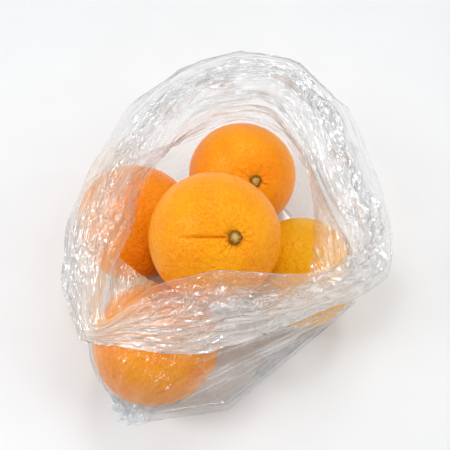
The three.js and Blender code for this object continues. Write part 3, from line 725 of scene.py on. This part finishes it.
def filmZones(flat, place, pastNeck, around):  # limits are in millimetres, or in the row shares of place
    x, y, z = flat.T
    across = np.clip(place - 1, 0, 1) * cuffAcross
    toFront = smooth(-y - 0.25 * x, -10, 25)
    toRight = smooth(x, -25, 10)
    onWall = smooth(place, 0.0, 0.1) * (1 - smooth(place, 0.88, 1.0))
    onCuff = smooth(place, 0.98, 1.1)
    bareWall = onWall * (1 - toFront)
    leftBand = onCuff * smooth(-x, 42, 62) * (1 - smooth(y, -30, 5))
    # the crumpled crest, which wanders, with smooth film on both sides of it
    wander = 0.1 * swing(around(0.5, 0), 22, 22) + 0.12 * swing(flat, 9, 23)
    crest = bump(place - 1.42 - wander, 0.2 + 0.22 * toFront) * onCuff * (1 - 0.8 * leftBand)
    crest = np.maximum(crest, 0.8 * bump(place - 1.92, 0.12) * smooth(y, 70, 100))
    crest *= 0.7 + 0.45 * smooth(swing(flat, 26, 21), -0.3, 0.25)
    # film drawn tight over the front fruit, where creases level with the right one would close into rings
    pulled = onWall * toFront * (1 - smooth(z, 55, 80))
    pulled *= smooth(np.linalg.norm(flat - [71, -37, 27], axis=1), 9, 24)
    corner = bump(np.linalg.norm(flat - [-57, -84, 3], axis=1), 15)
    overLeft = onCuff * smooth(-x, 40, 60) * (1 - smooth(y, 45, 70)) * (1 - 0.6 * leftBand)
    veil = overLeft * (1 - smooth(pastNeck, 12, 24))
    folded = np.maximum(0.22 + 0.78 * smooth(crest, 0.15, 0.5), 0.8 * toFront)
    hemBand = np.maximum(toFront * smooth(place, 1.32, 1.68), leftBand * smooth(place, 1.3, 1.6)) * onCuff
    streak = smooth(swing(around(0.04, across), 2.2, 81), 0.0, 0.25)
    neckStrip = toFront * onCuff * bump(pastNeck - 3, 6)
    creased = folded * (1 - 0.8 * neckStrip) * (1 - 0.6 * veil)
    cluster = (1 - neckStrip) * (1 - 0.7 * hemBand) * toFront * onCuff
    cluster *= smooth(swing(around(0.7, pastNeck), 11, 83), 0.05, 0.3)
    innerBack = (1 - toFront) * bump(pastNeck - 1, 9) * (place > 0.3)
    innerArcs = innerBack + bareWall * smooth(z, 50, 75)
    innerArcs *= smooth(swing(around(0.12, pastNeck), 7, 97), 0.0, 0.25)
    shoulder = onCuff * smooth(x, 38, 62) * (1 - smooth(y - 0.3 * x, -20, 10))
    calm = 1 - 0.8 * smooth(place, 1.6, 1.85) * (1 - toFront * smooth(x, -60, -30))
    calm *= (1 - 0.75 * hemBand) * (1 - 0.5 * overLeft)
    roll = onCuff * bump(pastNeck - 5, 5 + 3 * leftBand)
    frontLip = toFront * smooth(place, 1.1, 1.4) * (1 - neckStrip)
    flankPatch = pulled * smooth(swing(flat, 14, 85), 0, 0.3)
    clearOfEdge = 1 - smooth(-x, 80, 92)
    neckFold = bump(pastNeck, 1.0) * smooth(place, 0.9, 1.0)
    return {
        "everywhere": 1 + 0 * x, "toFront": toFront, "toBack": 1 - toFront, "toRight": toRight,
        "onCuff": onCuff, "frontCuff": toFront * onCuff, "backCuff": onCuff * (1 - toFront),
        "bareWall": bareWall,
        "crest": crest, "backCrest": crest * (1 - toFront) * (1 - smooth(-x, 45, 70)), "calm": calm,
        "folded": folded, "creased": creased, "creasedCuff": onCuff * creased, "cluster": cluster,
        "pulled": pulled, "pulledRight": pulled * toRight, "pulledLeft": pulled * (1 - toRight),
        "flankPatch": flankPatch, "rightPatch": flankPatch * toRight, "corner": corner,
        "cornerCore": corner ** 2,
        "overLeft": overLeft, "leftHaze": overLeft * clearOfEdge,
        "leftStreaks": overLeft * streak * clearOfEdge,
        "leftVeil": veil * clearOfEdge, "cuffPastNeck": onCuff * (1 - neckStrip),
        "hemBand": hemBand, "hemLeft": hemBand * (1 - toRight), "hemStreaks": hemBand * streak,
        "hemFrontLeft": hemBand * toFront * (1 - toRight), "hemEdge": smooth(place, 1.98, 2.0),
        "roll": roll, "frontRoll": toFront * roll, "leftRoll": leftBand * roll,
        "frontLip": frontLip, "rightLip": frontLip * toRight, "innerArcs": innerArcs,
        "shoulder": shoulder, "shoulderCrumple": shoulder * bump(place - 1.4, 0.35),
        "upperWall": bareWall * smooth(z, 45, 68), "backWall": bareWall * smooth(y + 0.6 * x, 20, 60),
        "backFilm": np.maximum(bareWall, innerBack), "neckFold": neckFold,
        "frontNeckFold": toFront * neckFold,
    }


def makeFilm(material):
    folds, looks = filmFolds, filmLooks
    columns, wallRows, cuffRows = bagForm["grid"]
    rows, part, neckRow = bagSheet(columns, wallRows, cuffRows)
    count = len(rows)
    normal = sheetNormals(rows).reshape(-1, 3)
    flat = rows.reshape(-1, 3)
    x, y, z = flat.T
    place = np.repeat(part, columns)  # -1 to 0 bottom, to 1 wall, to 2 cuff, past 2 the edge turned under
    steps = np.linalg.norm(np.diff(rows, axis=0), axis=2)
    run = np.vstack([np.zeros(columns), np.cumsum(steps, 0)])
    pastNeck = (run - run[neckRow]).reshape(-1)
    turn = np.arctan2(y, x)
    ring = np.column_stack([np.cos(turn), np.sin(turn)]) * 100
    acrossCuff = np.clip(place - 1, 0, 1) * cuffAcross

    def around(share, across):  # a smaller share draws a pattern out further round the mouth
        return np.column_stack([ring * share, np.broadcast_to(across, len(ring))])

    def fanAbout(hubX, hubY, spacing, seed):
        away = flat - [hubX, hubY, 0]
        turned = np.arctan2(away[:, 1] + 0.35 * z, away[:, 0]) % (2 * np.pi)
        fan = np.column_stack([turned * 60, np.hypot(away[:, 0], away[:, 1]) * 0.025, 0.03 * z])
        return fan, tent(fan, spacing, seed)

    columnWay = around(1, 0)[-columns:]

    def longCreases(across, form):  # each crease fades in and out on its way
        dice = np.random.default_rng(form["seed"])
        lines = np.zeros(len(flat))
        for index in range(form["number"]):
            seed = form["seed"] + index
            at = dice.uniform(*form["span"]) + form["drift"] * np.tile(swing(columnWay, 60, seed), count)
            shown = np.tile(smooth(swing(columnWay, 40, seed + 0.5), -0.15, 0.15), count)
            lines = np.maximum(lines, shown * bump(across - at, dice.uniform(*form["widths"])))
        return lines

    zones = filmZones(flat, place, pastNeck, around)
    named = ("toFront", "toRight", "onCuff", "pulled", "corner")
    toFront, toRight, onCuff, pulled, corner = (zones[name] for name in named)
    drift = 9 * swing(flat, 80, 1) + 1.5 * swing(flat, 24, 2)
    shift = weighed(zones, folds["soft"]) * swing(around(0.25, pastNeck), 17, 9)
    crease = 0 * shift
    for index, (way, astray, spacing, cuffHeight, wallHeight) in enumerate(folds["along"]):
        fold = foldedAt((way * pastNeck + astray * drift) / spacing)
        patch = smooth(swing(around(0.4, pastNeck * 1.5), 22, 30 + index), -0.2, 0.15)
        shift += (cuffHeight * onCuff * zones["folded"] + wallHeight * zones["bareWall"]) * fold * patch
        crease += looks["alongShine"] * zones["creasedCuff"] * patch * smooth(np.abs(fold), 0.86, 0.98)
    form = folds["hemFold"]
    hemFold = foldedAt((acrossCuff + form["drift"] * swing(flat, 70, 84)) / form["spacing"])
    shift += form["height"] * zones["hemBand"] * hemFold

    leftFan, leftCrease = fanAbout(*folds["leftFan"])
    rightFan, rightCrease = fanAbout(*folds["rightFan"])
    fan = leftFan + (rightFan - leftFan) * (toRight > 0.5)[:, None]
    fanCrease = leftCrease + (rightCrease - leftCrease) * toRight
    shift += pulled * (folds["fanHeight"] + folds["fanHeightRight"] * smooth(x, -20, 20)) * (fanCrease - 0.3)
    crease += pulled * (looks["fanShine"] + looks["fanShineRight"] * toRight) * fanCrease ** 4
    creaseWays = {"hem": (acrossCuff, "hemBand"), "ridge": (acrossCuff, "backCuff"),
                  "arc": (pastNeck, "toBack"), "flank": (rightFan[:, 0], "pulledRight"),
                  "fruit": (leftFan[:, 0], "pulledLeft")}
    for name, form in folds["single"].items():
        across, zone = creaseWays[name]
        lines = zones[zone] * longCreases(across, form)
        shift += form["height"] * lines
        crease += form["shine"] * lines

    creased = zones["creased"]
    rough = weighed(zones, folds["crumpledCuff"]) * zones["calm"] * creased
    rough += weighed(zones, folds["crumpledElsewhere"])
    shift += rough * sum(crumpled(around(0.33, pastNeck), *crumple) for crumple in folds["crumples"])
    shift += weighed(zones, folds["sharp"]) * crumpled(flat, *folds["sharpCrumple"])
    level, onFan, onPulled = folds["relief"]
    relief = level + level * swing(flat, 9, 10) + (onFan + onPulled * pulled) * fanCrease
    moved = pushOut(flat + normal * shift[:, None], bagForm["filmGap"], relief)

    # the seam's strip lies pressed flat on the table, and is gathered up at the left corner
    firstWallRow = rows[bagForm["bottomRows"]]
    inFromFoot = np.tile(np.hypot(firstWallRow[:, 0], firstWallRow[:, 1]), count) - np.hypot(x, y)
    onSeam = toFront * (place > -0.5) * (z < 12)
    pressed = onSeam * (1 - smooth(inFromFoot, 3.0, 14.0)) * (1 - smooth(corner, 0.15, 0.5))
    moved[:, 2] -= (moved[:, 2] - 0.5) * pressed
    gathered = smooth(corner, 0.1, 0.6)
    for axis, (wide, seed, sharp, sharpSeed) in enumerate(folds["gather"]):
        moved[:, axis] += gathered * (wide * swing(flat, 8, seed) + sharp * crumpled(flat, 4, 0.9, sharpSeed))
    up, wide, seed, sharp, sharpSeed = folds["gatherUp"]
    lifted = up + wide * np.abs(swing(flat, 5, seed)) + sharp * crumpled(flat, 4, 0.9, sharpSeed)
    moved[:, 2] += gathered * (place > 0) * lifted
    moved[:, 2] = np.maximum(moved[:, 2], bagForm["lowest"])
    zones["sealLine"] = onSeam * bump(inFromFoot - 5.0, 0.6)

    middle = len(moved)
    moved = np.vstack([moved, [0, 0, bagForm["bottom"]]])
    faces = gridFaces(count, columns) + [(middle, (i + 1) % columns, i) for i in range(columns)]
    piece = meshObject("bag_film", moved * mm, faces, material)
    # in the crumpled parts the faces are flat, which keeps their creases sharp
    sharpest = (zones["crest"] + zones["cluster"]) * zones["calm"] * creased + corner
    rounded = (sharpest + zones["shoulderCrumple"])[:-columns] <= folds["flatFaces"]
    piece.data.polygons.foreach_set("use_smooth", np.concatenate([rounded, np.ones(columns, bool)]))

    # the ways in which the fine creases and the crinkles are drawn out
    across = pastNeck + drift + zones["frontCuff"] * (acrossCuff - pastNeck - drift)
    finer = np.where(pulled[:, None] > 0.3, fan, around(0.035, across))
    crossing = around(0.08, pastNeck - drift + 16 * np.sin(3 * turn + 1))
    atCorner = smooth(corner, 0.1, 0.4)[:, None]
    drawnOut = around(0.24, across) * (1 - atCorner) + flat * atCorner
    drawnOut = np.where(pulled[:, None] * (1 - atCorner) > 0.3, fan * [1, 7, 4], drawnOut)

    crumple = weighed(zones, looks["crumpleCuff"]) * creased + weighed(zones, looks["crumpleElsewhere"])
    # painted orange light: where the haze takes the fruit's colour
    paintedOrangeFront = looks["paintedOrangeFront"] * toFront * (1 - 0.6 * toRight) * (1 - smooth(-x, 68, 80))
    paintedOrangeLeft = looks["paintedOrangeLeft"] * zones["overLeft"] * (1 - smooth(-x, 78, 90))
    paintedOrange = np.maximum(zones["roll"] * smooth(-x - y, -20, 30), onCuff * np.maximum(paintedOrangeFront, paintedOrangeLeft))
    # painted shade: where creases are drawn grey, at the back and sides
    paintedCreaseShadeSide = np.maximum(1 - toFront, smooth(-x, 70, 84)) * (1 - zones["shoulder"])
    layers = {
        "creaseMark": [np.clip(0.5 * crease + weighed(zones, looks["edges"]), 0, 1), np.clip(crumple, 0, 1),
                       weighed(zones, looks["haze"])],
        "fineMark": [weighed(zones, looks["fine"]), weighed(zones, looks["cross"]), paintedOrange],
        "lightMark": [weighed(zones, looks["behind"]), weighed(zones, looks["turned"]), paintedCreaseShadeSide],
        "drawnOut": (drawnOut * mm).T, "creaseRun": (finer * mm).T, "crossRun": (crossing * mm).T,
    }
    for name, parts in layers.items():
        values = np.column_stack(parts)
        pointVectors(piece, name, np.vstack([values, values[:1]]))  # the last is for the middle of the bottom
    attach(piece, "root")
    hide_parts("bag")


# A fold of loose film inside the mouth, as a sheet between two lines of points, which are given as places or
# as where they start and end along the neck. hub: where its fine creases run from.
# each fold also gives the share of painted orange light in its haze
innerFolds = {
    "web": {"rows": 60, "columns": 90, "hub": (-51, -6, 84), "sag": 7,
            "scuff": 0.22, "paintedOrange": 0.6, "crumple": 0.3, "outer": [16.8, 18.0], "inner": [19.5, 18.0]},
    "tuck": {"rows": 60, "columns": 110, "hub": (66, -36, 80), "sag": 0,
             "scuff": 0.34, "paintedOrange": 0.0, "crumple": 0.1, "outer": [9.7, 6.4],
             "inner": [(51, 49, 86.5), (53.5, 34, 81), (56.5, 20, 74), (57.2, 12, 70.5), (55.4, 3, 73.8),
                       (54.1, -4, 75.2), (52.6, -16, 74.6), (51.6, -27, 71), (51, -33, 66)]},
}
# a tuple: height, size, steepness where the fold has one, seed
# light: how far light comes from behind, then the shares of painted facet shade and of painted crease shade
looseFilm = {"belowNeck": 0.8, "edge": ((1.3, 9, 45), (0.8, 3, 46)), "creases": (0.6, 4, 41),
             "soft": (1.2, 13, 42), "crumple": (2.6, 4, 0.5, 47), "relief": (0.3, 4, 43),
             "blotches": (0.5, 12, 44), "hemRows": 6, "light": (0.2, 0.4, 0.0), "fine": 0.4, "moreGap": 0.4}


def alongNeck(start, end, count):  # points on the neck, from one station of its list to another
    return closedCurve(mouth["neck"], np.linspace(start, end, count) / len(mouth["neck"]) % 1)


def makeInnerFold(name, material):
    spec, loose = innerFolds[name], looseFilm
    columns, count = spec["columns"], spec["rows"]
    outer = alongNeck(*spec["outer"], columns) - zUp * loose["belowNeck"]
    onNeck = len(spec["inner"]) == 2
    inner = alongNeck(*spec["inner"], columns) if onNeck else openCurve(spec["inner"], columns)
    inner[:, 0] += sum(height * swing(inner, size, seed) for height, size, seed in loose["edge"])
    down = np.linspace(0, 1, count)[:, None]
    rows = outer + (inner - outer) * down[:, :, None]
    rows[:, :, 2] -= spec["sag"] * np.sin(np.pi * down) * (1 - np.linspace(0, 1, columns))
    flat = rows.reshape(-1, 3)
    normal = sheetNormals(rows, closed=False).reshape(-1, 3)
    away = flat - spec["hub"]
    reach = np.hypot(away[:, 0], away[:, 1])
    fan = np.column_stack([np.arctan2(away[:, 1], away[:, 0]) * 40, reach * 0.05, away[:, 2] * 0.1])
    creaseHeight, size, seed = loose["creases"]
    crease = tent(fan, size, seed)
    softHeight, size, seed = loose["soft"]
    shift = creaseHeight * crease + softHeight * swing(flat, size, seed)
    high, *crumple = loose["crumple"]
    shift += high * spec["crumple"] * crumpled(flat * [1, 0.4, 1], *crumple)
    shift *= np.repeat(np.minimum(1, np.arange(count) / loose["hemRows"]), columns)
    height, size, seed = loose["relief"]
    gap = bagForm["filmGap"] + loose["moreGap"]
    moved = pushOut(flat + normal * shift[:, None], gap, height * swing(flat, size, seed))
    piece = meshObject("film_" + name, moved * mm, gridFaces(count, columns, closed=False), material)
    fromEdge = np.repeat(1 - down[:, 0] ** 3, columns)
    blotch, size, seed = loose["blotches"]
    ones = np.ones((len(flat), 1))
    layers = {
        "creaseRun": fan * mm, "drawnOut": flat * [1, 0.4, 1] * mm, "crossRun": flat * [1, 0.2, 1] * mm,
        "creaseMark": np.column_stack([0.5 * crease ** 4, spec["crumple"] * ones,
                                       fromEdge * spec["scuff"] * (1 + blotch * swing(flat, size, seed))]),
        "lightMark": ones * loose["light"], "fineMark": ones * loose["fine"] + [0, 0, spec["paintedOrange"]],
    }
    for layer, values in layers.items():
        pointVectors(piece, layer, values)
    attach(piece, "root")


filmFinish = blownLdpeFilm("blown LDPE film")
makeFilm(filmFinish)
for name in innerFolds:
    makeInnerFold(name, filmFinish)
print("film made")


# softboxes and fills: place, size and watts. The fills light the sides of the fruit and are left out of
# reflections. overhead, behindCamera: how bright the room is above, and where it is dark.
studio = {"floor": "#ededed", "floorMottle": "#e9e9e9", "mottle": 33.3 * mm, "floorReach": 3.0,
          "overhead": 0.42, "behindCamera": 0.08, "darkWay": (0.0, -0.75, 0.66), "darkEdges": (0.92, 0.45),
          "roomWhite": (0.98, 0.985, 1.0, 1.0), "lampWhite": (0.975, 0.99, 1.0), "aim": (0, 0, 0.03),
          "softboxes": [((-0.65, 0.0, 0.9), 0.32, 4.6), ((0.15, 0.55, 0.95), 0.26, 2.4),
                        ((-0.35, -0.55, 0.85), 0.11, 0.5), ((0.35, -0.65, 0.7), 0.11, 0.5),
                        ((-0.75, -0.4, 0.45), 0.11, 0.5), ((0.75, -0.25, 0.7), 0.11, 0.5),
                        ((0.05, -0.95, 0.4), 0.11, 0.5), ((0.1, -0.15, 1.1), 0.11, 0.5)],
          "fills": [((0.9, -0.1, 0.5), 0.7, 2.3), ((0.5, 0.1, 0.85), 0.4, 0.8),
                    ((-0.9, 0.1, 0.4), 0.7, 0.7), ((0.1, 0.95, 0.4), 0.7, 0.8)]}


# Matt white laminate, pressed smooth: even, with a faint mottle that shows only in its shadows.
def mattLaminate(name):
    material, tree = newMaterial(name)
    place = addNode(tree, "TexCoord").outputs["Object"]
    grain = addNode(tree, "TexNoise", {"Scale": 1 / studio["mottle"], "Detail": 2.0}, {"Vector": place})
    tone = addNode(tree, "Mix",
                   {"data_type": "RGBA", 6: linear(studio["floor"]), 7: linear(studio["floorMottle"])},
                   {"Factor": grain})
    shader = addNode(tree, "BsdfPrincipled", {"Roughness": 0.6}, {"Base Color": tone.outputs[2]})
    addNode(tree, "OutputMaterial", links={"Surface": shader})
    return material


reach = studio["floorReach"]
floor = meshObject("table_top",
                   [(-reach, -reach, 0), (reach, -reach, 0), (reach, reach, 0), (-reach, reach, 0)],
                   [(0, 1, 2, 3)], mattLaminate("matt white laminate"))


for kind, inReflections in (("softboxes", True), ("fills", False)):
    for index, (at, size, power) in enumerate(studio[kind]):
        name = f"{'softbox' if inReflections else 'fill'}_{index}"
        lamp = bpy.data.lights.new(name, "AREA")
        lamp.shape = "DISK"
        lamp.size = size
        lamp.energy = power
        lamp.color = studio["lampWhite"]
        stand = addObject(name, lamp)
        stand.location = at
        stand.rotation_euler = lookFrom(at, studio["aim"])
        stand.visible_glossy = inReflections

# the room's white ceiling, and its darker walls, which the steep folds of the film mirror
world = bpy.data.worlds.new("studio")
world.use_nodes = True
sky = world.node_tree
sky.nodes.clear()
rayWay = addNode(sky, "TexCoord").outputs["Generated"]
upAndBack = addNode(sky, "VectorMath", {"operation": "DOT_PRODUCT", 1: studio["darkWay"]}, {0: rayWay})
darkest, brightest = studio["darkEdges"]
strength = addNode(sky, "MapRange",
                   {"From Min": darkest, "From Max": brightest, "To Min": studio["behindCamera"],
                                     "To Max": studio["overhead"]}, {"Value": upAndBack.outputs["Value"]})
roomLight = addNode(sky, "Background", {"Color": studio["roomWhite"]}, {"Strength": strength})
addNode(sky, "OutputWorld", links={"Surface": roomLight})
bpy.context.scene.world = world

scene = bpy.context.scene
scene.view_settings.view_transform = "Standard"
scene.cycles.transparent_max_bounces = 32
scene.cycles.max_bounces = 12
scene.cycles.diffuse_bounces = 2
print("studio lit")
